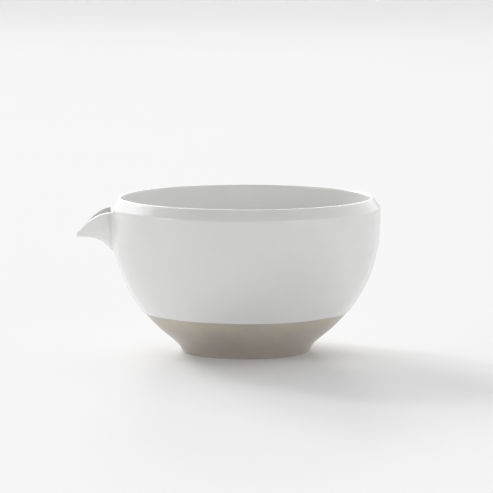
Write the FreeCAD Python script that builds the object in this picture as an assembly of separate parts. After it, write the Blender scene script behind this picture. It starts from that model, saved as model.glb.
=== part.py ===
import FreeCAD, Part
import math
import os

# A white-glazed stoneware bowl with a pouring spout. Millimetres, +Z up.
# The origin is the centre of the plane that the foot rests on, and the spout points along -X.
# "Glazed" sizes are those of the finished surface. The clay lies one coat deeper.

# Bowl, glazed sizes
HEIGHT = 72.0
RIM_RADIUS = 62.85
MOUTH_RADIUS = 57.8
LIP_ROUND = 1.0
RIM_ROUND = 2.0
BEVEL_TURN = 36.0            # degrees above level that the bevel outside the lip faces
BELLY_HEIGHT = 60.3          # the wall stands upright from here to the rim
GLAZE = 0.45
GLAZED_WALL_ARC = 66.4
CLAY_WALL_ARC = 66.3
INNER_WALL_ARC = 61.0
INNER_FLOOR_ARC = 24.0
INNER_TURN = 49.0            # degrees from upright where the inner wall turns into the floor
GLAZE_LINE = 19.0            # height where the outside glaze ends and bare clay begins

# Turned foot, bare clay
FOOT_CONE_TURN = 50.5        # degrees from upright of the straight cone above the foot
FOOT_FLARE_TOP = 5.3
FOOT_FLARE_ARC = 12.0
FOOT_EDGE_ROUND = 0.5
FOOT_RING_WIDTH = 4.6
FOOT_RECESS_DEPTH = 2.8
FOOT_RECESS_ROUND = 1.4

# Spout, glazed sizes
SPOUT_TIP = 79.0             # distance of the tip from the bowl's axis
SPOUT_HALF_WIDTH = 16.0      # at the wall
SPOUT_EDGE_HEIGHT = 65.9     # at the wall
SPOUT_EDGE_TIP = 55.0        # height of the edges where they meet at the tip
SPOUT_KEEL_TIP = 53.2        # height of the keel at the tip
SPOUT_KEEL_DROP = 6.0        # the keel meets the wall this far below the tip
SPOUT_EDGE_WALL = 2.4
SPOUT_KEEL_WALL = 3.0
SPOUT_TIP_WALL = 1.1
# Sections of the loft, 0 at the wall and 1 at the tip. It stops just short of the tip.
SPOUT_STATIONS = (0.0, 0.05, 0.12, 0.22, 0.35, 0.5, 0.65, 0.8, 0.92, 0.985)
SPOUT_OVERLAP = 4.5          # the forms run this far into the wall before they are trimmed to it
PLAN_POWER = 1.4
PLAN_ROUND = 0.9
EDGE_POWER = 1.8
KEEL_POWER = 3.5
CHANNEL_TIP = 55.9           # height of the channel's floor at the tip
FLOOR_POWER = 3.0
CHANNEL_CLEARANCE = 1.0      # the channel's arcs begin this far above the spout's edges
CHANNEL_RISE = 10.0
SLIP_FLARE = 1.7             # how far the slip would stand out at the inner end of the spout's root
SLIP_SHARE = 0.07            # the slip ends this far along the spout
SLIP_EDGE = 0.3
SLIP_DROP = 0.4              # the slip stops this far below the spout's edges

# Pour hole through the wall, glazed sizes
HOLE_HALF_WIDTH = 9.5
HOLE_BOTTOM = 51.6
HOLE_SHOULDER = 58.6
HOLE_TOP = 63.0
HOLE_CORNER = 2.4

AXIS = FreeCAD.Vector(0, 0, 1)
ORIGIN = FreeCAD.Vector(0, 0, 0)


def at(radius, height):
    return FreeCAD.Vector(radius, 0, height)


def on_circle(centre, radius, turn):
    """Point on a circle in the XZ plane, turned by degrees from +X towards +Z."""
    angle = math.radians(turn)
    return centre + at(radius * math.cos(angle), radius * math.sin(angle))


def line(start, end):
    return Part.LineSegment(start, end).toShape()


def arc(centre, radius, first, last):
    middle = (first + last) / 2
    points = [on_circle(centre, radius, turn) for turn in (first, middle, last)]
    return Part.Arc(*points).toShape()


def joined(pieces):
    """One outline from edges in order, with a straight edge wherever two ends don't meet."""
    edges = []
    for piece in pieces:
        if edges:
            gap_start = edges[-1].lastVertex(True).Point
            gap_end = piece.firstVertex(True).Point
            if gap_start.distanceToPoint(gap_end) > 1e-7:
                edges.append(line(gap_start, gap_end))
        edges.append(piece)
    return edges


def turned(edges):
    """Solid of revolution from an outline that may be left open."""
    start = edges[0].firstVertex(True).Point
    end = edges[-1].lastVertex(True).Point
    if start.distanceToPoint(end) > 1e-7:
        edges = edges + [line(end, start)]
    face = Part.Face(Part.Wire(edges))
    return face.revolve(ORIGIN, AXIS, 360)


def lip_centre():
    return at(MOUTH_RADIUS + LIP_ROUND, HEIGHT - LIP_ROUND)


def rim_centre():
    """Centre of the rim's round, which touches the bevel and the upright collar."""
    lip = lip_centre()
    turn = math.radians(BEVEL_TURN)
    radius = RIM_RADIUS - RIM_ROUND
    drop = (RIM_ROUND - LIP_ROUND + (radius - lip.x) * math.cos(turn)) / math.sin(turn)
    return at(radius, lip.z - drop)


def rim_outline(skin):
    """Crown of the lip, bevel and rounded corner above the collar, from the top down."""
    return [
        arc(lip_centre(), LIP_ROUND - skin, 90, BEVEL_TURN),
        arc(rim_centre(), RIM_ROUND - skin, BEVEL_TURN, 0),
    ]


def wall_arc(radius, wall_radius, last):
    """Bulging wall from the belly down, to a turn in degrees from upright."""
    centre = at(wall_radius - radius, BELLY_HEIGHT)
    return arc(centre, radius, 0, -last)


def wall_turn_at(radius, height):
    return math.degrees(math.asin((BELLY_HEIGHT - height) / radius))


def foot_outline():
    """Straight cone, flare and rounded edge of the foot, from the top down."""
    wall_centre = at(RIM_RADIUS - GLAZE - CLAY_WALL_ARC, BELLY_HEIGHT)
    cone_top = on_circle(wall_centre, CLAY_WALL_ARC, -FOOT_CONE_TURN)
    slope = math.tan(math.radians(FOOT_CONE_TURN))
    cone_foot = at(cone_top.x - (cone_top.z - FOOT_FLARE_TOP) * slope, FOOT_FLARE_TOP)
    flare_centre = on_circle(cone_foot, FOOT_FLARE_ARC, -FOOT_CONE_TURN)
    rise = (FOOT_EDGE_ROUND - flare_centre.z) / FOOT_FLARE_ARC
    flare = arc(flare_centre, FOOT_FLARE_ARC, 180 - FOOT_CONE_TURN, 180 - math.degrees(math.asin(rise)))
    edge = flare.lastVertex(True).Point - at(FOOT_EDGE_ROUND, 0)
    return [line(cone_top, cone_foot), flare, arc(edge, FOOT_EDGE_ROUND, 0, -90)]


def foot_radius():
    return foot_outline()[-1].lastVertex(True).Point.x


def filled_clay():
    """Everything inside the clay's outer surface."""
    rim = rim_outline(GLAZE)
    wall = wall_arc(CLAY_WALL_ARC, RIM_RADIUS - GLAZE, FOOT_CONE_TURN)
    crown = line(at(0, HEIGHT - GLAZE), rim[0].firstVertex(True).Point)
    edges = joined([crown] + rim + [wall] + foot_outline() + [line(at(foot_radius(), 0), ORIGIN)])
    return turned(edges)


def filled_glaze():
    """Everything inside the glazed outer surface, above the glaze line."""
    rim = rim_outline(0)
    wall = wall_arc(GLAZED_WALL_ARC, RIM_RADIUS, wall_turn_at(GLAZED_WALL_ARC, GLAZE_LINE))
    crown = line(at(0, HEIGHT), rim[0].firstVertex(True).Point)
    edges = joined([crown] + rim + [wall, line(wall.lastVertex(True).Point, at(0, GLAZE_LINE))])
    return turned(edges)


def hollow(skin):
    """The inside of the bowl, to the glazed surface (skin 0) or to the clay."""
    wall_radius = INNER_WALL_ARC + skin
    floor_radius = INNER_FLOOR_ARC + skin
    wall_centre = at(MOUTH_RADIUS - INNER_WALL_ARC, BELLY_HEIGHT)
    turn_point = on_circle(wall_centre, INNER_WALL_ARC, -INNER_TURN)
    floor_centre = on_circle(turn_point, INNER_FLOOR_ARC, 180 - INNER_TURN)
    lip = arc(lip_centre(), LIP_ROUND - skin, 90, 180)
    floor = arc(floor_centre, floor_radius, -INNER_TURN, -90)
    low = at(0, floor.lastVertex(True).Point.z)
    top = at(0, HEIGHT - skin)
    edges = joined([line(top, lip.firstVertex(True).Point), lip,
                    arc(wall_centre, wall_radius, 0, -INNER_TURN), floor,
                    line(floor.lastVertex(True).Point, low)])
    return turned(edges)


def foot_recess():
    """Shallow hollow turned under the foot, inside its resting ring."""
    radius = foot_radius() - FOOT_RING_WIDTH
    corner = at(radius - FOOT_RECESS_ROUND, FOOT_RECESS_DEPTH - FOOT_RECESS_ROUND)
    round_edge = arc(corner, FOOT_RECESS_ROUND, 90, 0)
    return turned(joined([line(at(0, FOOT_RECESS_DEPTH), round_edge.firstVertex(True).Point),
                          round_edge, line(at(radius, 0), ORIGIN)]))


def section(x, half, top, low, rise=0):
    """Arc that hangs across the spout at x, closed by a flat top or by sides of some rise."""
    left = FreeCAD.Vector(x, half, top)
    right = FreeCAD.Vector(x, -half, top)
    edges = [Part.Arc(left, FreeCAD.Vector(x, 0, low), right).toShape()]
    if rise:
        up = FreeCAD.Vector(0, 0, rise)
        edges += [line(right, right + up), line(right + up, left + up), line(left + up, left)]
    else:
        edges.append(line(right, left))
    return Part.Wire(edges)


def plan(share):
    """Width of the spout along its length, as a share of its width at the wall."""
    return (1 - share ** PLAN_POWER) ** PLAN_ROUND


def trough(half_width, reach, top, low, rise=0):
    """Loft of sections from inside the wall out to the tip.

    Top and low give heights from the share of the reach, 0 at the wall and 1 at the tip.
    """
    overlap = -SPOUT_OVERLAP / (reach - RIM_RADIUS)
    sections = []
    for share in (overlap, overlap / 2) + SPOUT_STATIONS:
        x = -(RIM_RADIUS + (reach - RIM_RADIUS) * share)
        inside = max(share, 0)
        half = half_width * plan(inside)
        lowest = min(low(inside), top(inside) - half / 2)
        sections.append(section(x, half, top(inside), lowest, rise))
    return Part.makeLoft(sections, True, False)


def spout_edge(share):
    return SPOUT_EDGE_HEIGHT - (SPOUT_EDGE_HEIGHT - SPOUT_EDGE_TIP) * share ** EDGE_POWER


def spout_keel(share):
    return SPOUT_KEEL_TIP - SPOUT_KEEL_DROP * (1 - share) ** KEEL_POWER


def spout_hull(skin):
    """The spout's outer form with a flat open top, glazed (skin 0) or clay."""
    return trough(SPOUT_HALF_WIDTH - skin, SPOUT_TIP - 2 * skin,
                  lambda share: spout_edge(share) - skin, lambda share: spout_keel(share) + skin)


def slip_form(skin):
    """The spout's root widened towards the wall, which leaves the fillet of slip round it."""
    sections = []
    for share, flare in ((-SPOUT_OVERLAP / (SPOUT_TIP - RIM_RADIUS), SLIP_FLARE), (SLIP_SHARE, SLIP_EDGE)):
        inside = max(share, 0)
        half = SPOUT_HALF_WIDTH * plan(inside) - skin + flare
        x = -(RIM_RADIUS + (SPOUT_TIP - RIM_RADIUS) * share)
        top = spout_edge(inside) - skin - SLIP_DROP
        sections.append(section(x, half, top, spout_keel(inside) + skin - flare))
    return Part.makeLoft(sections, True, True)


def channel(skin):
    """The space that liquid runs through, glazed (skin 0) or clay, with room above it."""
    reach = SPOUT_TIP - SPOUT_TIP_WALL
    tip_share = (reach - RIM_RADIUS) / (SPOUT_TIP - RIM_RADIUS)
    root = spout_keel(0) + SPOUT_KEEL_WALL
    return trough(SPOUT_HALF_WIDTH - SPOUT_EDGE_WALL + skin, reach + skin,
                  lambda share: spout_edge(share * tip_share) + CHANNEL_CLEARANCE,
                  lambda share: CHANNEL_TIP - skin - (CHANNEL_TIP - root) * (1 - share) ** FLOOR_POWER,
                  CHANNEL_RISE)


def pour_hole(skin):
    """Arch-bottomed opening under the rim, as a bar along X that crosses the wall."""
    half = HOLE_HALF_WIDTH + skin
    corner = HOLE_CORNER
    x = -RIM_RADIUS - 2
    top = HOLE_TOP + skin

    def spot(y, z):
        return FreeCAD.Vector(x, y, z)

    def bend(side):
        centre = (side * (half - corner), top - corner)
        diagonal = corner / math.sqrt(2)
        return (spot(side * half, centre[1]),
                spot(centre[0] + side * diagonal, centre[1] + diagonal),
                spot(centre[0], top))

    near, far = bend(-1), bend(1)
    bottom = [spot(half, HOLE_SHOULDER), spot(0, HOLE_BOTTOM - skin), spot(-half, HOLE_SHOULDER)]
    edges = [Part.Arc(*bottom).toShape(), line(bottom[2], near[0]), Part.Arc(*near).toShape(),
             line(near[2], far[2]), Part.Arc(far[2], far[1], far[0]).toShape(),
             line(far[0], bottom[0])]
    return Part.Face(Part.Wire(edges)).extrude(FreeCAD.Vector(16, 0, 0))


def make_parts():
    clay_form = filled_clay()
    glaze_form = filled_glaze()
    clay_spout_form = spout_hull(GLAZE)
    glaze_spout_form = spout_hull(0)
    clay_slip_form = slip_form(GLAZE)
    clay_trough = clay_spout_form.cut(channel(GLAZE))
    glaze_trough = glaze_spout_form.cut(channel(0))
    clay_hole = pour_hole(GLAZE)
    glaze_hole = pour_hole(0)
    clay_hollow = hollow(GLAZE)
    glaze_hollow = hollow(0)

    wall = clay_form.cut(clay_hollow)
    body = wall.cut(foot_recess()).cut(clay_hole)
    spout = clay_trough.cut(clay_form)
    slip = clay_slip_form.cut(clay_form).cut(clay_spout_form)

    coat = glaze_form.cut(clay_form).cut(glaze_hollow)
    outer = coat.cut(clay_spout_form).cut(clay_slip_form)
    end_wall = coat.common(clay_spout_form).common(channel(GLAZE)).cut(glaze_hole)
    trough_coat = glaze_trough.cut(glaze_form).cut(clay_trough).cut(clay_slip_form)
    slip_coat = slip_form(0).cut(glaze_spout_form).cut(glaze_form).cut(clay_slip_form)
    spout_coat = trough_coat.fuse(slip_coat).fuse(end_wall)

    hole_lining = clay_hole.cut(glaze_hole).common(wall)
    liner = clay_hollow.cut(glaze_hollow).cut(glaze_hole).fuse(hole_lining)

    return {
        "stoneware_body": body,
        "pouring_spout": spout,
        "spout_joint_slip": slip,
        "outer_glaze": outer,
        "spout_glaze": spout_coat,
        "liner_glaze": liner,
    }


os.makedirs("parts", exist_ok=True)
for name, shape in make_parts().items():
    box = shape.BoundBox
    print(name, "valid", shape.isValid(), "solids", len(shape.Solids), "volume", round(shape.Volume, 1),
          "x", round(box.XMin, 2), round(box.XMax, 2), "z", round(box.ZMin, 2), round(box.ZMax, 2))
    shape.exportStep("parts/" + name + ".step")
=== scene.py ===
import math

import bpy
import bmesh
import numpy as np
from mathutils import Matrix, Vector
from mathutils.bvhtree import BVHTree


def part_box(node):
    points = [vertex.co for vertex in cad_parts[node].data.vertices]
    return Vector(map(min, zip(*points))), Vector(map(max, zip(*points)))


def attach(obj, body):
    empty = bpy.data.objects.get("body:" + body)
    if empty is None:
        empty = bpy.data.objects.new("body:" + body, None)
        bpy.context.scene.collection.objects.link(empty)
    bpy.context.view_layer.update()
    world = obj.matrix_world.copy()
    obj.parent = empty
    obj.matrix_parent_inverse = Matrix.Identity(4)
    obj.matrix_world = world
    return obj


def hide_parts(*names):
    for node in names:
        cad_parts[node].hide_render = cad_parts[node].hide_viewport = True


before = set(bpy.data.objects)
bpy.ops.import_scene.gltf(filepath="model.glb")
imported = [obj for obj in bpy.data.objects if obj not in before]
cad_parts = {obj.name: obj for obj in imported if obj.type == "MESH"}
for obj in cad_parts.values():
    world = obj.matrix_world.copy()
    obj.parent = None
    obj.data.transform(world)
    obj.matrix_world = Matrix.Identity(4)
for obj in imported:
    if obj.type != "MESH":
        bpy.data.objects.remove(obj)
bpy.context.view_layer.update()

# A white-glazed stoneware bowl with a pouring spout along -X. Outlines are worked out in
# millimetres and made into meshes in metres.
MM = 0.001


# ---------------------------------------------------------------- sizes from the frame

def node_box(name):
    """Lowest and highest corners of a CAD node in millimetres."""
    low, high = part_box(name)
    return low / MM, high / MM


outer_low, outer_high = node_box("outer_glaze")
HEIGHT = outer_high.z
RIM_RADIUS = outer_high.y
GLAZE_LINE = outer_low.z
GLAZE = HEIGHT - node_box("stoneware_body")[1].z
SPOUT_TIP = -node_box("spout_glaze")[0].x

# Bowl, as the CAD has it
MOUTH_RADIUS = 57.8
LIP_ROUND = 1.0
RIM_ROUND = 2.0
BEVEL_TURN = 36.0            # degrees above level that the bevel faces
BELLY_HEIGHT = 60.3
GLAZED_WALL_ARC = 66.4
CLAY_WALL_ARC = 66.3
INNER_WALL_ARC = 61.0
INNER_FLOOR_ARC = 24.0
INNER_TURN = 49.0
FOOT_CONE_TURN = 50.5
FOOT_FLARE_TOP = 5.3
FOOT_FLARE_ARC = 12.0
FOOT_EDGE_ROUND = 0.5
FOOT_RING_WIDTH = 4.6
FOOT_RECESS_DEPTH = 2.8
FOOT_RECESS_ROUND = 1.4

# Spout and pour hole, as the CAD has them
SPOUT_HALF_WIDTH = 16.0
SPOUT_EDGE_HEIGHT = 65.9
SPOUT_EDGE_TIP = 55.0
SPOUT_KEEL_TIP = 53.2
SPOUT_KEEL_DROP = 6.0
SPOUT_EDGE_WALL = 2.4
SPOUT_KEEL_WALL = 3.0
SPOUT_TIP_WALL = 1.1
PLAN_POWER = 1.4
PLAN_ROUND = 0.9
EDGE_POWER = 1.8
KEEL_POWER = 3.5
CHANNEL_TIP = 55.9
FLOOR_POWER = 3.0
HOLE_HALF_WIDTH = 9.5
HOLE_BOTTOM = 51.6
HOLE_SHOULDER = 58.6
HOLE_TOP = 63.0
HOLE_CORNER = 2.4

SPOUT_REACH = SPOUT_TIP - RIM_RADIUS
CHANNEL_SHARE = (SPOUT_TIP - SPOUT_TIP_WALL - RIM_RADIUS) / SPOUT_REACH

# Glaze coats in Blender
COAT_OVERLAP = 0.12          # how far a coat's back sinks into the clay
COAT_STOP = 0.35             # the outer coat's wall stops this far above the glaze line
EDGE_ROUND = 0.36            # and rounds over with this radius
BEAD = 0.22                  # how much thicker the glaze is where it gathers at its lower edge
BEAD_REACH = 1.6
EDGE_WAVES = (               # size, number round the bowl and phase of each wave in its lower edge
    (0.16, 1, 0.3), (0.1, 3, 2.0), (0.05, 7, 0.5), (0.03, 13, 0.0))

# Handwork
RING_PITCH = 7.5             # height between two throwing rings
WALL_RINGS = 0.1             # depth of the rings in the outer coat, the liner and the bare clay
LINER_RINGS = 0.09
CLAY_RINGS = 0.05
WALL_RINGS_END = 3.0         # they end this far under the rim's corner
WALL_RINGS_FADE = 10.0       # and fade over this height
LINER_RINGS_END = 6.0        # inside, this far under the rim
LINER_RINGS_FADE = 12.0
LINER_RINGS_GROW = 20.0      # and they grow from the middle of the floor to this radius
TURNING_PITCH = 1.15         # marks of the turning tool on the bare clay
TURNING_DEPTH = 0.022
TURNING_FROM = 33.0          # they start outside this radius
TURNING_FADE = 3.0           # and grow over this height from the foot up
CLAY_INSET = 0.03            # the marked clay lies this far inside its CAD form
CLAY_WALL_END = 9.3          # the clay's curved wall ends here, just above the foot's cone
SWELL_HEIGHT = 0.12          # ring left round the middle of the bowl's floor
SWELL_RADIUS = 9.0
SWELL_WIDTH = 7.0
SWELL_BELOW = 12.0           # it belongs to the part of the liner under this height

# Pour hole in Blender: each piece is cut wider than the hole, and the lining covers the cuts
CLAY_CUT = 0.3
COAT_CUT = 0.75
LINER_CUT = 1.15
CUTTER_FRONT = 0.3           # the cutter reaches from this far outside the wall
CUTTER_BACK = 14.0           # to this far inside it
LINING_INNER_ROLL = 1.5
LINING_OUTER_ROLL = 1.0
LINING_SUNK = 0.04           # the rolled edges lie this far under the coats' faces
LINING_TUCK = 0.6            # and their last rows this far,
LINING_SPREAD = 0.3          # this far beyond the roll

# Spout in Blender
SPOUT_ROOT = 4.0             # the spout's form starts this far behind the wall's face
ROOT_FILLET = 1.7            # hollow curves from the wall into the spout's outside and its channel
CHANNEL_FILLET = 0.9
SPOUT_VOXEL = 0.28           # grid that the spout's coat is rebuilt on
SPOUT_SOFTENING = 14         # rounds of smoothing after that
SPOUT_END = 0.9985           # share of the spout's reach where its last section lies
PATCH_WIDTH = 23.0           # half width of the piece of wall that the spout melts into
PATCH_LOW = 38.0
PATCH_HIGH = 66.2
PATCH_DEPTH = 1.8
PATCH_FACE = (0.1, 0.6)      # points nearer to the wall's face than this belong to the piece of wall
PATCH_SINK = (0.02, 0.35)    # it lies this far under the bowl's coat, and this much more
PATCH_AWAY = (0.9, 2.6)      # away from the spout, between these distances from its form
TIP_STRETCH = 3.0            # the beak is stretched from this far outside the wall
TIP_INSET = 0.02             # to this far inside its CAD box
SLIVER = 0.012               # edges shorter than this are closed up after a cut
SPOUT_CLAY_DEPTH = 0.85      # the spout's clay lies this far under its glazed form
SPOUT_CLAY_BACK = 2.0        # from this far behind the wall's face
SPOUT_CLAY_REACH = 8.5       # to this far outside it
SLIP_THICKNESS = 0.2
SLIP_BACK = 1.0
SLIP_FRONT = 1.2

# Camera, fitted to the bowl in the photograph
CAMERA_PLACE = (0.00037, -1.389, 0.2120)
CAMERA_TILT = 6.71           # degrees below level
CAMERA_LENS = 219.07
CAMERA_SENSOR = 36.0
CAMERA_FAR = 50.0

# Colours and roughness
GLAZE_DARK = (0.765, 0.765, 0.752)
GLAZE_LIGHT = (0.80, 0.80, 0.79)
GLAZE_ROUGHNESS = (0.16, 0.26)
CLAY_COLOURS = (             # share of the way from the floor to the glaze line, colour
    (0.12, (0.45, 0.405, 0.36)), (0.6, (0.48, 0.43, 0.38)), (0.93, (0.55, 0.50, 0.41)))
CLAY_ROUGHNESS = (0.36, 0.52)

# Studio light. Azimuth runs from +X towards +Y, so 90 is behind the bowl and 180 beyond the spout.
WORLD_EVEN = 0.212
WORLD_PARTS = (("Y", 1.182), ("X", 0.558))  # light that grows towards this side of the room
DISTANT_LIGHTS = (
    # name, azimuth, elevation and softness in degrees, strength
    ("window_middle", 116, 20, 13, 0.76), ("window_high", 130, 30, 13, 0.87),
    ("window_low", 116, 12, 13, 0.36), ("window_right", 92, 12, 13, 0.43),
    ("wall_left", 200, 20, 20, 0.54), ("wall_far_left", 185, 10, 20, 0.22),
    ("sky_left", 150, 34, 20, 0.14), ("wall_front", 315, 11, 22, 0.48),
    ("sky_front", 270, 50, 40, 0.07),
)

# Brightness in the scene and as shown: equal up to the first entry, then flattening towards white
TONE_WHITE = 2.2
TONE_SHOULDER = ((0.80, 0.80), (0.95, 0.92), (1.20, 0.955), (1.60, 0.98))

SEGMENTS = 320               # round the bowl
SHARP = 35                   # degrees between faces from which an edge stays sharp
SPOUT_SHARP = 60
MERGE = 1e-7                 # metres within which points of a new mesh are one
FLAT_EDGE = 1e-8             # metres under which its edges are closed up


# ---------------------------------------------------------------- outlines

def clamped(value):
    return min(max(value, 0.0), 1.0)


def on_circle(centre, radius, turn):
    angle = math.radians(turn)
    return centre[0] + radius * math.cos(angle), centre[1] + radius * math.sin(angle)


def arc(centre, radius, first, last, steps):
    return [on_circle(centre, radius, first + (last - first) * i / steps) for i in range(steps + 1)]


def straight(start, end, steps):
    """The points between two ends, without the ends."""
    return [(start[0] + (end[0] - start[0]) * i / steps, start[1] + (end[1] - start[1]) * i / steps)
            for i in range(1, steps)]


LIP_CENTRE = (MOUTH_RADIUS + LIP_ROUND, HEIGHT - LIP_ROUND)
BEVEL_COS, BEVEL_SIN = math.cos(math.radians(BEVEL_TURN)), math.sin(math.radians(BEVEL_TURN))
BEVEL_REACH = RIM_RADIUS - RIM_ROUND - LIP_CENTRE[0]
RIM_CENTRE = (RIM_RADIUS - RIM_ROUND,
              LIP_CENTRE[1] - (RIM_ROUND - LIP_ROUND + BEVEL_REACH * BEVEL_COS) / BEVEL_SIN)


def wall_radius(height, arc_radius=GLAZED_WALL_ARC, belly=RIM_RADIUS):
    """Outside radius of the wall at a height."""
    below = max(BELLY_HEIGHT - height, 0.0)
    return belly - arc_radius + math.sqrt(arc_radius ** 2 - below ** 2)


def inner_radius(height):
    """Inside radius of the wall at a height."""
    below = max(BELLY_HEIGHT - height, 0.0)
    return MOUTH_RADIUS - INNER_WALL_ARC + math.sqrt(INNER_WALL_ARC ** 2 - below ** 2)


def rim_outline(skin):
    """Lip, bevel and rounded collar corner, from the crown down, at a depth under the glaze."""
    lip = arc(LIP_CENTRE, LIP_ROUND - skin, 90, BEVEL_TURN, 6)
    corner = arc(RIM_CENTRE, RIM_ROUND - skin, BEVEL_TURN, 0, 10)
    return lip + straight(lip[-1], corner[0], 14) + corner


def wall_outline(skin, arc_radius, lowest, steps):
    """Collar and bulging wall down to a height, with its points closer together near the rim."""
    top = RIM_CENTRE[1]
    heights = [top + (lowest - top) * (i / steps) ** 1.35 for i in range(1, steps + 1)]
    return [(wall_radius(height, arc_radius, RIM_RADIUS - skin), height) for height in heights]


def foot_outline():
    """Straight cone, flare, rounded edge, resting ring and recess, from the top down."""
    wall_centre = (RIM_RADIUS - GLAZE - CLAY_WALL_ARC, BELLY_HEIGHT)
    cone_top = on_circle(wall_centre, CLAY_WALL_ARC, -FOOT_CONE_TURN)
    slope = math.tan(math.radians(FOOT_CONE_TURN))
    cone_foot = (cone_top[0] - (cone_top[1] - FOOT_FLARE_TOP) * slope, FOOT_FLARE_TOP)
    flare_centre = on_circle(cone_foot, FOOT_FLARE_ARC, -FOOT_CONE_TURN)
    rise = (FOOT_EDGE_ROUND - flare_centre[1]) / FOOT_FLARE_ARC
    flare = arc(flare_centre, FOOT_FLARE_ARC, 180 - FOOT_CONE_TURN, 180 - math.degrees(math.asin(rise)), 16)
    edge_centre = (flare[-1][0] - FOOT_EDGE_ROUND, FOOT_EDGE_ROUND)
    edge = arc(edge_centre, FOOT_EDGE_ROUND, 0, -90, 6)
    inner = edge_centre[0] - FOOT_RING_WIDTH
    inner_edge = arc((inner + FOOT_EDGE_ROUND, FOOT_EDGE_ROUND), FOOT_EDGE_ROUND, -90, -180, 5)
    corner_centre = (inner - FOOT_RECESS_ROUND, FOOT_RECESS_DEPTH - FOOT_RECESS_ROUND)
    corner = arc(corner_centre, FOOT_RECESS_ROUND, 0, 90, 6)
    recess = straight(corner[-1], (0.0, FOOT_RECESS_DEPTH), 22) + [(0.0, FOOT_RECESS_DEPTH)]
    cone = [cone_top] + straight(cone_top, cone_foot, 8)
    ring = straight(edge[-1], inner_edge[0], 6)
    return cone + flare + edge[1:] + ring + inner_edge + corner + recess


def inner_outline(skin):
    """Inside of the bowl from the middle of the floor up to the lip's crown."""
    wall_centre = (MOUTH_RADIUS - INNER_WALL_ARC, BELLY_HEIGHT)
    turn_point = on_circle(wall_centre, INNER_WALL_ARC, -INNER_TURN)
    floor_centre = on_circle(turn_point, INNER_FLOOR_ARC, 180 - INNER_TURN)
    floor = arc(floor_centre, INNER_FLOOR_ARC + skin, -90, -INNER_TURN, 16)
    wall = arc(wall_centre, INNER_WALL_ARC + skin, -INNER_TURN, 0, 46)[1:]
    lip = arc(LIP_CENTRE, LIP_ROUND - skin, 180, 90, 8)
    middle = [(0.0, floor[0][1])] + straight((0.0, floor[0][1]), floor[0], 16)
    return middle + floor + wall + straight(wall[-1], lip[0], 14) + lip


# ---------------------------------------------------------------- mesh helpers

def mesh_object(name, vertices, faces, sharp_degrees=SHARP):
    """A linked object from points in millimetres."""
    mesh = bpy.data.meshes.new(name)
    mesh.from_pydata([tuple(c * MM for c in v) for v in vertices], [], faces)
    tool = bmesh.new()
    tool.from_mesh(mesh)
    bmesh.ops.remove_doubles(tool, verts=tool.verts, dist=MERGE)
    bmesh.ops.dissolve_degenerate(tool, edges=tool.edges, dist=FLAT_EDGE)
    bmesh.ops.recalc_face_normals(tool, faces=tool.faces)
    tool.to_mesh(mesh)
    tool.free()
    piece = bpy.data.objects.new(name, mesh)
    bpy.context.scene.collection.objects.link(piece)
    smooth(piece, sharp_degrees)
    return piece


def smooth(piece, sharp_degrees=SHARP):
    piece.data.shade_smooth()
    piece.data.set_sharp_from_angle(angle=math.radians(sharp_degrees))


def grid_faces(rows, columns, close_rows, close_columns):
    """Four-sided faces over rows of points, joined last to first where asked."""
    faces = []
    for i in range(rows if close_rows else rows - 1):
        for j in range(columns if close_columns else columns - 1):
            a, b = i * columns, ((i + 1) % rows) * columns
            k = (j + 1) % columns
            faces.append((a + j, a + k, b + k, b + j))
    return faces


def points_of(rows):
    """The points of all rows in one list."""
    return [point for row in rows for point in row]


def lathe(name, outline, shift, closed=False):
    """Turns an outline round Z. Shift gives (outward, up) for an angle and a point of the outline."""
    vertices = []
    for i in range(SEGMENTS):
        angle = 2 * math.pi * i / SEGMENTS
        for index, (radius, height) in enumerate(outline):
            out, up = shift(angle, radius, height, index)
            r = max(radius + out, 0.0) if radius > 0 else 0.0
            vertices.append((r * math.cos(angle), r * math.sin(angle), height + up))
    return mesh_object(name, vertices, grid_faces(SEGMENTS, len(outline), True, closed))


def settle(piece):
    """Applies a piece's modifiers to its mesh."""
    bpy.context.view_layer.update()
    graph = bpy.context.evaluated_depsgraph_get()
    mesh = bpy.data.meshes.new_from_object(piece.evaluated_get(graph))
    piece.modifiers.clear()
    old = piece.data
    piece.data = mesh
    bpy.data.meshes.remove(old)


def cut_hole(piece, grow):
    """Cuts the pour hole through a piece, wider than the hole by grow."""
    cutter = hole_cutter(grow)
    modifier = piece.modifiers.new("cut", "BOOLEAN")
    modifier.operation = "DIFFERENCE"
    modifier.object = cutter
    modifier.solver = "EXACT"
    settle(piece)
    bpy.data.objects.remove(cutter)


def island_from(face, seen):
    """All faces joined to a face by edges that have two faces, noting them in seen."""
    island, waiting = [], [face]
    seen.add(face)
    while waiting:
        current = waiting.pop()
        island.append(current)
        for edge in current.edges:
            for other in edge.link_faces if len(edge.link_faces) == 2 else ():
                if other not in seen:
                    seen.add(other)
                    waiting.append(other)
    return island


def keep_main_shell(piece):
    """Drops the loose slivers that a cut can leave beside the main shell."""
    tool = bmesh.new()
    tool.from_mesh(piece.data)
    bmesh.ops.triangulate(tool, faces=tool.faces)
    bmesh.ops.remove_doubles(tool, verts=tool.verts, dist=SLIVER * MM)
    bmesh.ops.dissolve_degenerate(tool, edges=tool.edges, dist=SLIVER * MM)
    seen = set()
    islands = [island_from(face, seen) for face in tool.faces if face not in seen]
    islands.sort(key=len)
    strays = [face for island in islands[:-1] for face in island]
    bmesh.ops.delete(tool, geom=strays, context="FACES")
    tool.to_mesh(piece.data)
    tool.free()


# ---------------------------------------------------------------- unevenness of handwork

def throwing(angle, height):
    """Spiral rings and slow waves left by the potter's fingers, from about -1 to 1."""
    spiral = math.sin(2 * math.pi * height / RING_PITCH - angle + 0.8 * math.sin(2 * angle + 0.6))
    slow = math.sin(3 * angle + height * 0.11 + 1.3) + 0.7 * math.sin(2 * angle - height * 0.07 + 4.0)
    return 0.5 * spiral + 0.3 * slow


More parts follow.
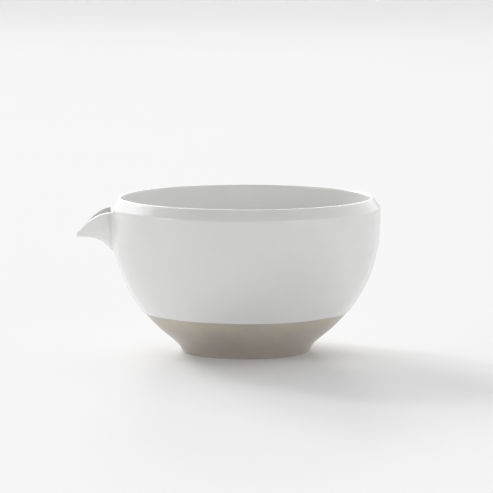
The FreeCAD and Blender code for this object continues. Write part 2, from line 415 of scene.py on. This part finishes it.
def edge_drift(angle):
    """Height of the glaze's lower edge as it wanders round the bowl."""
    return sum(size * math.sin(turns * angle + phase) for size, turns, phase in EDGE_WAVES)


def wall_unevenness(angle, height, depth):
    """Always inward, so that the bowl never grows past its CAD size. Fades towards the rim."""
    fade = clamped((RIM_CENTRE[1] - WALL_RINGS_END - height) / WALL_RINGS_FADE)
    return -depth * fade * (0.5 + 0.5 * throwing(angle, height))


# ---------------------------------------------------------------- bowl pieces

def make_clay_body():
    outer = rim_outline(GLAZE) + wall_outline(GLAZE, CLAY_WALL_ARC, CLAY_WALL_END, 70)
    outline = inner_outline(GLAZE) + outer[1:] + foot_outline()

    def shift(angle, radius, height, index):
        if radius <= TURNING_FROM:
            return 0.0, 0.0
        bare = clamped((GLAZE_LINE + 1.0 - height) / 2.0)
        foot = clamped(height / TURNING_FADE)
        turning = TURNING_DEPTH * math.sin(2 * math.pi * height / TURNING_PITCH + 0.35 * angle)
        waves = CLAY_RINGS * throwing(angle, height * 1.4)
        return (turning + waves - CLAY_INSET) * bare * foot, 0.0

    return lathe("bowl_clay", outline, shift)


def make_outer_coat():
    rim = rim_outline(0)
    wall = wall_outline(0, GLAZED_WALL_ARC, GLAZE_LINE + COAT_STOP, 120)
    lowest = wall[-1]
    tilt = math.degrees(math.asin((BELLY_HEIGHT - lowest[1]) / GLAZED_WALL_ARC))
    bead_centre = on_circle(lowest, -EDGE_ROUND, -tilt)
    bead = arc(bead_centre, EDGE_ROUND, -tilt - 12, -tilt - 150, 12)
    back = [(wall_radius(z, CLAY_WALL_ARC, RIM_RADIUS - GLAZE) - COAT_OVERLAP, z)
            for z in (GLAZE_LINE + 0.5, 30.0, 42.0, 54.0, BELLY_HEIGHT)]
    inside = rim_outline(GLAZE + COAT_OVERLAP)[::-1]
    outline = rim + wall + bead + back + inside
    first_back = len(rim) + len(wall) + len(bead)
    slope = math.radians(tilt)

    def shift(angle, radius, height, index):
        if index >= first_back:
            return 0.0, 0.0
        near_edge = math.exp(-max(height - GLAZE_LINE, 0.0) / BEAD_REACH)
        drift = edge_drift(angle) * near_edge
        bead_size = BEAD * near_edge * (0.8 + 0.3 * math.sin(4 * angle + 1.1))
        out = wall_unevenness(angle, height, WALL_RINGS)
        out = out + bead_size * math.cos(slope) + drift * math.tan(slope)
        return out, drift - bead_size * math.sin(slope)

    return lathe("outer_coat", outline, shift, closed=True)


def make_liner_coat():
    face = inner_outline(0)
    back = inner_outline(GLAZE + COAT_OVERLAP)[::-1]

    def shift(angle, radius, height, index):
        if index >= len(face):
            return 0.0, 0.0
        fade = clamped((HEIGHT - LINER_RINGS_END - height) / LINER_RINGS_FADE)
        fade *= min(radius / LINER_RINGS_GROW, 1.0)
        ring = LINER_RINGS * fade * (0.5 + 0.5 * throwing(-angle, height * 0.9 + radius * 0.3))
        if height >= SWELL_BELOW:
            return -ring, 0.0
        return -ring, SWELL_HEIGHT * math.exp(-((radius - SWELL_RADIUS) / SWELL_WIDTH) ** 2)

    return lathe("liner_coat", face + back, shift)


# ---------------------------------------------------------------- pour hole

def hole_loop(grow, steps=168):
    """Closed D-shaped loop in (y, z), pushed outward by grow, with evenly spaced points."""
    depth = HOLE_SHOULDER - HOLE_BOTTOM
    radius = (HOLE_HALF_WIDTH ** 2 + depth ** 2) / (2 * depth)
    centre = (0.0, HOLE_BOTTOM + radius)
    reach = math.degrees(math.asin(HOLE_HALF_WIDTH / radius))
    corner = (HOLE_HALF_WIDTH - HOLE_CORNER, HOLE_TOP - HOLE_CORNER)
    dense = arc(centre, radius, -90 - reach, -90 + reach, 80)
    dense += straight(dense[-1], (HOLE_HALF_WIDTH, corner[1]), 12)
    dense += arc(corner, HOLE_CORNER, 0, 90, 24)
    dense += straight((corner[0], HOLE_TOP), (-corner[0], HOLE_TOP), 60)
    dense += arc((-corner[0], corner[1]), HOLE_CORNER, 90, 180, 24)
    dense += straight((-HOLE_HALF_WIDTH, corner[1]), dense[0], 12)
    points = np.array(dense)
    ring = np.vstack([points, points[:1]])
    along = np.concatenate([[0], np.cumsum(np.linalg.norm(np.diff(ring, axis=0), axis=1))])
    places = np.linspace(0, along[-1], steps, endpoint=False)
    even = np.stack([np.interp(places, along, ring[:, k]) for k in (0, 1)], 1)
    for _ in range(3):
        even = (np.roll(even, 1, 0) + 2 * even + np.roll(even, -1, 0)) / 4
    tangent = np.roll(even, -1, 0) - np.roll(even, 1, 0)
    tangent /= np.linalg.norm(tangent, axis=1)[:, None]
    outward = np.stack([tangent[:, 1], -tangent[:, 0]], 1)
    return even + grow * outward


def wall_face(y, z, outside):
    """X of the wall's outer or inner face on the spout's side."""
    radius = wall_radius(z) if outside else inner_radius(z)
    return -math.sqrt(radius ** 2 - y ** 2)


def make_hole_lining():
    """Glazed bore whose two ends roll over onto the bowl's inner and outer faces."""
    def row(grow, outside, inward):
        sign = 1 if outside else -1
        return [(wall_face(y, z, outside) + sign * inward, y, z) for y, z in hole_loop(grow)]

    def rolled(roll, outside, share):
        turn = share * math.pi / 2
        return row(roll * (1 - math.sin(turn)), outside, LINING_SUNK + roll * (1 - math.cos(turn)))

    steps = 9
    rows = [row(LINING_INNER_ROLL + LINING_SPREAD, False, LINING_TUCK)]
    rows += [rolled(LINING_INNER_ROLL, False, i / steps) for i in range(steps + 1)]
    rows += [rolled(LINING_OUTER_ROLL, True, 1 - i / steps) for i in range(steps + 1)]
    rows.append(row(LINING_OUTER_ROLL + LINING_SPREAD, True, LINING_TUCK))
    return mesh_object("hole_lining", points_of(rows), grid_faces(len(rows), len(rows[0]), True, True))


def hole_cutter(grow):
    """A bar with the pour hole's section that runs through the wall."""
    loop = hole_loop(grow, 96)
    rows = [[(x, y, z) for y, z in loop] for x in (-RIM_RADIUS - CUTTER_FRONT, -RIM_RADIUS + CUTTER_BACK)]
    count = len(loop)
    ends = [tuple(range(count)), tuple(range(2 * count - 1, count - 1, -1))]
    return mesh_object("hole_cutter", points_of(rows), grid_faces(2, count, False, True) + ends)


# ---------------------------------------------------------------- spout

def plan(share):
    """Width of the spout along its length, as a share of its width at the wall."""
    return (1 - share ** PLAN_POWER) ** PLAN_ROUND


def spout_edge(share):
    return SPOUT_EDGE_HEIGHT - (SPOUT_EDGE_HEIGHT - SPOUT_EDGE_TIP) * share ** EDGE_POWER


def spout_keel(share):
    return SPOUT_KEEL_TIP - SPOUT_KEEL_DROP * (1 - share) ** KEEL_POWER


def hanging_arc(half, top, low, steps):
    """Points of the arc through (half, top), (0, low) and (-half, top)."""
    depth = top - low
    radius = (half ** 2 + depth ** 2) / (2 * depth)
    centre = (0.0, low + radius)
    start = math.degrees(math.atan2(top - centre[1], half))
    return arc(centre, radius, start, -180 - start, steps)


def fillet(distance, size):
    """Spread of a hollow fillet at a distance from the surface that it melts into."""
    left = 1 - min(max(distance, 0.0), size) / size
    return size * (1 - math.sqrt(1 - left ** 2))


def spread_loop(loop, x, amounts):
    """Pushes the points of a section outward where they come near the bowl's wall, each point by a
    fillet of its own size."""
    points = np.array(loop)
    along = np.roll(points, -1, 0) - np.roll(points, 1, 0)
    length = np.maximum(np.linalg.norm(along, axis=1), 1e-6)
    outward = np.stack([-along[:, 1], along[:, 0]], 1) / length[:, None]
    for i, ((y, z), size) in enumerate(zip(loop, amounts)):
        distance = -x - math.sqrt(max(wall_radius(z) ** 2 - y ** 2, 0.0))
        points[i] += outward[i] * fillet(distance, size)
    return [tuple(p) for p in points]


def spout_section(share, skin):
    """Outer and inner arc across the spout at a share of its reach, at a depth under its surface. The
    inner one is the channel's, and shrinks to a point where the channel has run out."""
    steps = 64
    inside = max(share, 0.0)
    top = spout_edge(inside) - skin
    half = (SPOUT_HALF_WIDTH - skin) * plan(inside)
    outer = hanging_arc(half, top, min(spout_keel(inside) + skin, top - half / 2), steps)
    channel = inside / CHANNEL_SHARE
    if channel < 0.999:
        inner_half = (SPOUT_HALF_WIDTH - SPOUT_EDGE_WALL + skin) * plan(channel)
        root = spout_keel(0) + SPOUT_KEEL_WALL
        floor = CHANNEL_TIP - skin - (CHANNEL_TIP - root) * (1 - channel) ** FLOOR_POWER
        inner = hanging_arc(inner_half, top, min(floor, top - inner_half / 2), steps)[::-1]
    else:
        inner = [(0.0, top)] * (steps + 1)
    return outer, inner


def shell_of(name, rows):
    """Closed shell over loops made of an outer arc followed by an inner one."""
    count = len(rows[0])
    faces = grid_faces(len(rows), count, False, True)
    half = count // 2
    for first in (0, (len(rows) - 1) * count):
        for j in range(half - 1):
            faces.append((first + j, first + j + 1, first + count - 2 - j, first + count - 1 - j))
    return mesh_object(name, points_of(rows), faces)


def spout_shell(name):
    """The spout's glazed form: close sections near the wall, then ever closer ones towards the tip."""
    near, near_steps, far_steps = 4.0, 34, 56
    first = math.asin((near + 0.2) / SPOUT_REACH)
    shares = [(-SPOUT_ROOT + (SPOUT_ROOT + near) * i / near_steps) / SPOUT_REACH
              for i in range(near_steps + 1)]
    shares += [math.sin(first + (math.pi / 2 - first) * i / far_steps) for i in range(far_steps)]
    rows = []
    for share in shares + [SPOUT_END]:
        x = -(RIM_RADIUS + SPOUT_REACH * share)
        outer, inner = spout_section(share, 0)
        amounts = [ROOT_FILLET] * len(outer) + [CHANNEL_FILLET] * len(inner)
        rows.append([(x, y, z) for y, z in spread_loop(outer + inner, x, amounts)])
    return shell_of(name, rows)


def buried_shell(name, back, front, section, steps):
    """A shell under the glaze, from back mm behind the wall's face to front mm outside it."""
    rows = []
    for i in range(steps + 1):
        out = -back + (back + front) * i / steps
        outer, inner = section(out / SPOUT_REACH)
        rows.append([(-RIM_RADIUS - out, y, z) for y, z in outer + inner])
    return shell_of(name, rows)


def make_spout_clay():
    """The clay inside the spout's walls, as far as they are thick enough to hold it."""
    return buried_shell("spout_clay", SPOUT_CLAY_BACK, SPOUT_CLAY_REACH,
                        lambda share: spout_section(share, SPOUT_CLAY_DEPTH), 30)


def make_slip():
    """The luting that bonds the spout to the wall, a thin collar round the spout's clay."""
    def collar(share):
        outer, _ = spout_section(share, SPOUT_CLAY_DEPTH - SLIP_THICKNESS)
        inner, _ = spout_section(share, SPOUT_CLAY_DEPTH)
        return outer, inner[::-1]

    return buried_shell("spout_slip", SLIP_BACK, SLIP_FRONT, collar, 12)


def wall_patch():
    """A slab of the bowl's wall behind the spout."""
    across, along = 60, 40
    ys = [PATCH_WIDTH * (2 * j / across - 1) for j in range(across + 1)]
    rows = []
    for i in range(along + 1):
        z = PATCH_LOW + (PATCH_HIGH - PATCH_LOW) * i / along
        face = [(-math.sqrt(wall_radius(z) ** 2 - y ** 2), y, z) for y in ys]
        back = [(-math.sqrt((wall_radius(z) - PATCH_DEPTH) ** 2 - y ** 2), y, z) for y in ys[::-1]]
        rows.append(face + back)
    count = len(rows[0])
    ends = [tuple(range(count - 1, -1, -1)), tuple(range(along * count, (along + 1) * count))]
    return mesh_object("patch", points_of(rows), grid_faces(len(rows), count, False, True) + ends)


def smooth_step(value, low, high):
    share = np.clip((value - low) / (high - low), 0.0, 1.0)
    return share * share * (3 - 2 * share)


def coordinates(piece):
    """The points of a piece in millimetres, one row each."""
    places = np.zeros(len(piece.data.vertices) * 3)
    piece.data.vertices.foreach_get("co", places)
    return places.reshape(-1, 3) / MM


def join_patch(shell):
    """Adds the slab of wall to the spout and rebuilds both as one evenly meshed, softened surface."""
    patch = wall_patch()
    tool = bmesh.new()
    tool.from_mesh(shell.data)
    tool.from_mesh(patch.data)
    tool.to_mesh(shell.data)
    tool.free()
    bpy.data.objects.remove(patch)
    remesh = shell.modifiers.new("even", "REMESH")
    remesh.mode = "VOXEL"
    remesh.voxel_size = SPOUT_VOXEL * MM
    soften = shell.modifiers.new("soften", "SMOOTH")
    soften.factor = 0.5
    soften.iterations = SPOUT_SOFTENING
    settle(shell)


def sink_patch(places, gap):
    """Lays the slab of wall just under the bowl's coat, deeper away from the spout."""
    radius = np.hypot(places[:, 0], places[:, 1])
    face = np.array([wall_radius(z) for z in places[:, 2]])
    on_wall = 1 - smooth_step(radius - face, *PATCH_FACE)
    sink = PATCH_SINK[0] + PATCH_SINK[1] * smooth_step(gap, *PATCH_AWAY)
    scale = 1 - on_wall * sink / radius
    places[:, 0] *= scale
    places[:, 1] *= scale


def restore_tip(places):
    """Stretches the beak back to its length, which the softening took from it."""
    tip = -places[:, 0].min()
    outer_part = smooth_step(-places[:, 0], RIM_RADIUS + TIP_STRETCH, tip)
    places[:, 0] -= outer_part * (SPOUT_TIP - TIP_INSET - tip)


def make_spout_coat():
    """The glazed spout, rounded as glaze rounds it, with its root melting into the wall."""
    shell = spout_shell("spout_coat")
    form = BVHTree.FromPolygons([v.co for v in shell.data.vertices],
                                [tuple(f.vertices) for f in shell.data.polygons])
    join_patch(shell)
    places = coordinates(shell)
    gap = np.array([form.find_nearest(Vector(p * MM))[3] for p in places]) / MM
    sink_patch(places, gap)
    restore_tip(places)
    shell.data.vertices.foreach_set("co", (places * MM).ravel())
    shell.data.update()
    cut_hole(shell, COAT_CUT)
    keep_main_shell(shell)
    smooth(shell, SPOUT_SHARP)
    return shell


# ---------------------------------------------------------------- materials

def new_material(name):
    """A material, its node tree, its shader and its object coordinates."""
    material = bpy.data.materials.new(name)
    material.use_nodes = True
    tree = material.node_tree
    place = tree.nodes.new("ShaderNodeTexCoord").outputs["Object"]
    return material, tree, tree.nodes["Principled BSDF"], place


def node(tree, kind, **values):
    """A node with values for its sockets, or where it has no such socket, for its settings."""
    made = tree.nodes.new(kind)
    for key, value in values.items():
        if key in made.inputs:
            made.inputs[key].default_value = value
        else:
            setattr(made, key, value)
    return made


def ramp(tree, source, *stops):
    """Colours by a value, from stops of a place and a colour or a grey."""
    made = tree.nodes.new("ShaderNodeValToRGB")
    while len(made.color_ramp.elements) < len(stops):
        made.color_ramp.elements.new(0.5)
    for element, (place, colour) in zip(made.color_ramp.elements, stops):
        element.position = place
        element.color = (*colour, 1) if isinstance(colour, tuple) else (colour, colour, colour, 1)
    tree.links.new(source, made.inputs["Fac"])
    return made.outputs["Color"]


def noise(tree, place, scale, detail=4.0, roughness=0.55):
    """Noise from 0 to 1, with its scale per metre."""
    made = node(tree, "ShaderNodeTexNoise", Scale=scale, Detail=detail, Roughness=roughness)
    tree.links.new(place, made.inputs["Vector"])
    return made.outputs["Fac"]


def ranged(tree, value, low, high):
    """A value from 0 to 1, moved to a range."""
    made = node(tree, "ShaderNodeMapRange")
    made.inputs["To Min"].default_value = low
    made.inputs["To Max"].default_value = high
    tree.links.new(value, made.inputs["Value"])
    return made.outputs["Result"]


def multiplied(tree, colour, by, amount):
    """A colour multiplied by another, mixed in by an amount."""
    made = node(tree, "ShaderNodeMix", data_type="RGBA", blend_type="MULTIPLY")
    made.inputs["Factor"].default_value = amount
    tree.links.new(colour, made.inputs["A"])
    tree.links.new(by, made.inputs["B"])
    return made.outputs["Result"]


def bump(tree, height, strength, distance, normal=None):
    """A bumped normal, over another one if given, with its depth in metres."""
    made = node(tree, "ShaderNodeBump", Strength=strength, Distance=distance)
    tree.links.new(height, made.inputs["Height"])
    if normal is not None:
        tree.links.new(normal, made.inputs["Normal"])
    return made.outputs["Normal"]


def glaze_material():
    """Satin-gloss white glaze: faint clouds, a fine orange peel and a slow ripple."""
    material, tree, shader, place = new_material("white_glaze")
    colour = ramp(tree, noise(tree, place, 38.0, detail=3.0), (0.3, GLAZE_DARK), (0.7, GLAZE_LIGHT))
    tree.links.new(colour, shader.inputs["Base Color"])
    rough = ranged(tree, noise(tree, place, 120.0, detail=5.0), *GLAZE_ROUGHNESS)
    tree.links.new(rough, shader.inputs["Roughness"])
    peel = bump(tree, noise(tree, place, 420.0, detail=2.0), 0.12, 0.2 * MM)
    ripple = bump(tree, noise(tree, place, 60.0, detail=2.0), 0.18, 0.6 * MM, peel)
    tree.links.new(ripple, shader.inputs["Normal"])
    shader.inputs["IOR"].default_value = 1.5
    shader.inputs["Coat Weight"].default_value = 0.35
    shader.inputs["Coat Roughness"].default_value = 0.10
    return material


def clay_material():
    """Matt grey stoneware, lighter and warmer towards the glaze line and darker towards the foot, with
    blotches and a fine grain.
    """
    material, tree, shader, place = new_material("bare_clay")
    fine = noise(tree, place, 900.0, detail=6.0, roughness=0.65)
    axes = node(tree, "ShaderNodeSeparateXYZ")
    tree.links.new(place, axes.inputs[0])
    share = node(tree, "ShaderNodeMapRange")
    share.inputs["From Max"].default_value = 20.0 * MM
    tree.links.new(axes.outputs["Z"], share.inputs["Value"])
    # clay colour by height: lighter and warmer towards the glaze line, darker towards the foot
    height_tone = ramp(tree, share.outputs["Result"], *CLAY_COLOURS)
    cloud = ramp(tree, noise(tree, place, 45.0), (0.3, 0.93), (0.7, 1.05))
    grain = ramp(tree, fine, (0.25, (0.80, 0.79, 0.78)), (0.6, 1.0), (0.85, (1.1, 1.09, 1.07)))
    colour = multiplied(tree, multiplied(tree, height_tone, cloud, 1.0), grain, 0.5)
    tree.links.new(colour, shader.inputs["Base Color"])
    tree.links.new(ranged(tree, fine, *CLAY_ROUGHNESS), shader.inputs["Roughness"])
    tree.links.new(bump(tree, fine, 0.22, 0.15 * MM), shader.inputs["Normal"])
    shader.inputs["Sheen Weight"].default_value = 0.8
    shader.inputs["Sheen Roughness"].default_value = 0.3
    return material


def floor_material():
    material, tree, shader, place = new_material("paper_floor")
    colour = ramp(tree, noise(tree, place, 3.0), (0.3, 0.86), (0.7, 0.88))
    tree.links.new(colour, shader.inputs["Base Color"])
    shader.inputs["Roughness"].default_value = 0.7
    shader.inputs["Specular IOR Level"].default_value = 0.2
    return material


# ---------------------------------------------------------------- assembly

def finish_piece(piece, material, slot, *nodes):
    """Gives a piece its material and its body, and hides the CAD nodes that it stands for."""
    piece.data.materials.clear()
    piece.data.materials.append(material)
    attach(piece, "root")
    if nodes:
        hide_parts(*nodes)


def make_camera():
    camera = bpy.data.objects.new("camera", bpy.data.cameras.new("camera"))
    bpy.context.scene.collection.objects.link(camera)
    camera.location = CAMERA_PLACE
    camera.rotation_euler = (math.radians(90 - CAMERA_TILT), 0, 0)
    camera.data.lens = CAMERA_LENS
    camera.data.sensor_width = CAMERA_SENSOR
    camera.data.clip_end = CAMERA_FAR
    bpy.context.scene.camera = camera


def world_part(tree, axis, amount):
    """Light that grows towards one side of the room and is zero on the other."""
    facing = node(tree, "ShaderNodeMath", operation="MAXIMUM")
    facing.inputs[1].default_value = 0.0
    tree.links.new(axis, facing.inputs[0])
    scaled = node(tree, "ShaderNodeMath", operation="MULTIPLY")
    scaled.inputs[1].default_value = amount
    tree.links.new(facing.outputs[0], scaled.inputs[0])
    return scaled.outputs[0]


def make_world():
    """An even grey, brighter towards the back and the right."""
    world = bpy.data.worlds.new("studio")
    bpy.context.scene.world = world
    world.use_nodes = True
    tree = world.node_tree
    axes = node(tree, "ShaderNodeSeparateXYZ")
    tree.links.new(tree.nodes.new("ShaderNodeTexCoord").outputs["Generated"], axes.inputs[0])
    total = None
    for axis, amount in WORLD_PARTS:
        summed = node(tree, "ShaderNodeMath", operation="ADD")
        tree.links.new(world_part(tree, axes.outputs[axis], amount), summed.inputs[0])
        if total is None:
            summed.inputs[1].default_value = WORLD_EVEN
        else:
            tree.links.new(total, summed.inputs[1])
        total = summed.outputs[0]
    tree.links.new(total, tree.nodes["Background"].inputs["Color"])
    tree.nodes["Background"].inputs["Strength"].default_value = 1.0


def make_lights():
    """Broad distant lights, so that the floor stays even: a window behind the bowl, pale walls on its
    left and in front on its right, and a little sky."""
    make_world()
    for name, azimuth, elevation, softness, strength in DISTANT_LIGHTS:
        data = bpy.data.lights.new(name, "SUN")
        data.energy = strength
        data.angle = math.radians(softness)
        light = bpy.data.objects.new(name, data)
        bpy.context.scene.collection.objects.link(light)
        a, e = math.radians(azimuth), math.radians(elevation)
        towards = Vector((math.cos(e) * math.cos(a), math.cos(e) * math.sin(a), math.sin(e)))
        light.rotation_euler = towards.to_track_quat("Z", "Y").to_euler()


def make_floor():
    """Flat round floor whose far edge curls up a little on every side."""
    flat, edge, lift, turns, curl_steps = 3000.0, 6000.0, 750.0, 96, 16
    line = [(radius, 0.0) for radius in (150.0, 600.0, 1500.0, flat)]
    for i in range(1, curl_steps + 1):
        share = i / curl_steps
        line.append((flat + (edge - flat) * share, lift * share ** 2))
    vertices = [(r * math.cos(2 * math.pi * i / turns), r * math.sin(2 * math.pi * i / turns), z)
                for i in range(turns) for r, z in line]
    middle = [tuple(i * len(line) for i in range(turns))]
    floor = mesh_object("floor", vertices, grid_faces(turns, len(line), True, False) + middle)
    floor.data.materials.append(floor_material())


def set_tones():
    """Plain sRGB with a soft shoulder, so that the sunlit side keeps its form instead of clipping."""
    view = bpy.context.scene.view_settings
    view.view_transform = "Standard"
    view.use_curve_mapping = True
    mapping = view.curve_mapping
    mapping.white_level = (TONE_WHITE,) * 3
    curve = mapping.curves[3]
    for bright, shown in TONE_SHOULDER:
        curve.points.new(bright / TONE_WHITE, shown)
    for index, point in enumerate(curve.points):
        point.handle_type = "VECTOR" if index < 2 else "AUTO_CLAMPED"
    mapping.update()


make_camera()
make_lights()
make_floor()
set_tones()

glaze = glaze_material()
clay = clay_material()

clay_bowl = make_clay_body()
outer = make_outer_coat()
liner = make_liner_coat()
for piece, grow in ((clay_bowl, CLAY_CUT), (outer, COAT_CUT), (liner, LINER_CUT)):
    cut_hole(piece, grow)
    smooth(piece)
lining = make_hole_lining()
spout = make_spout_coat()
spout_clay = make_spout_clay()
slip = make_slip()

finish_piece(clay_bowl, clay, "bare_clay", "stoneware_body")
finish_piece(outer, glaze, "white_glaze", "outer_glaze")
finish_piece(liner, glaze, "white_glaze", "liner_glaze")
finish_piece(lining, glaze, "white_glaze")
finish_piece(spout, glaze, "white_glaze", "spout_glaze")
finish_piece(spout_clay, clay, "bare_clay", "pouring_spout")
finish_piece(slip, clay, "bare_clay", "spout_joint_slip")
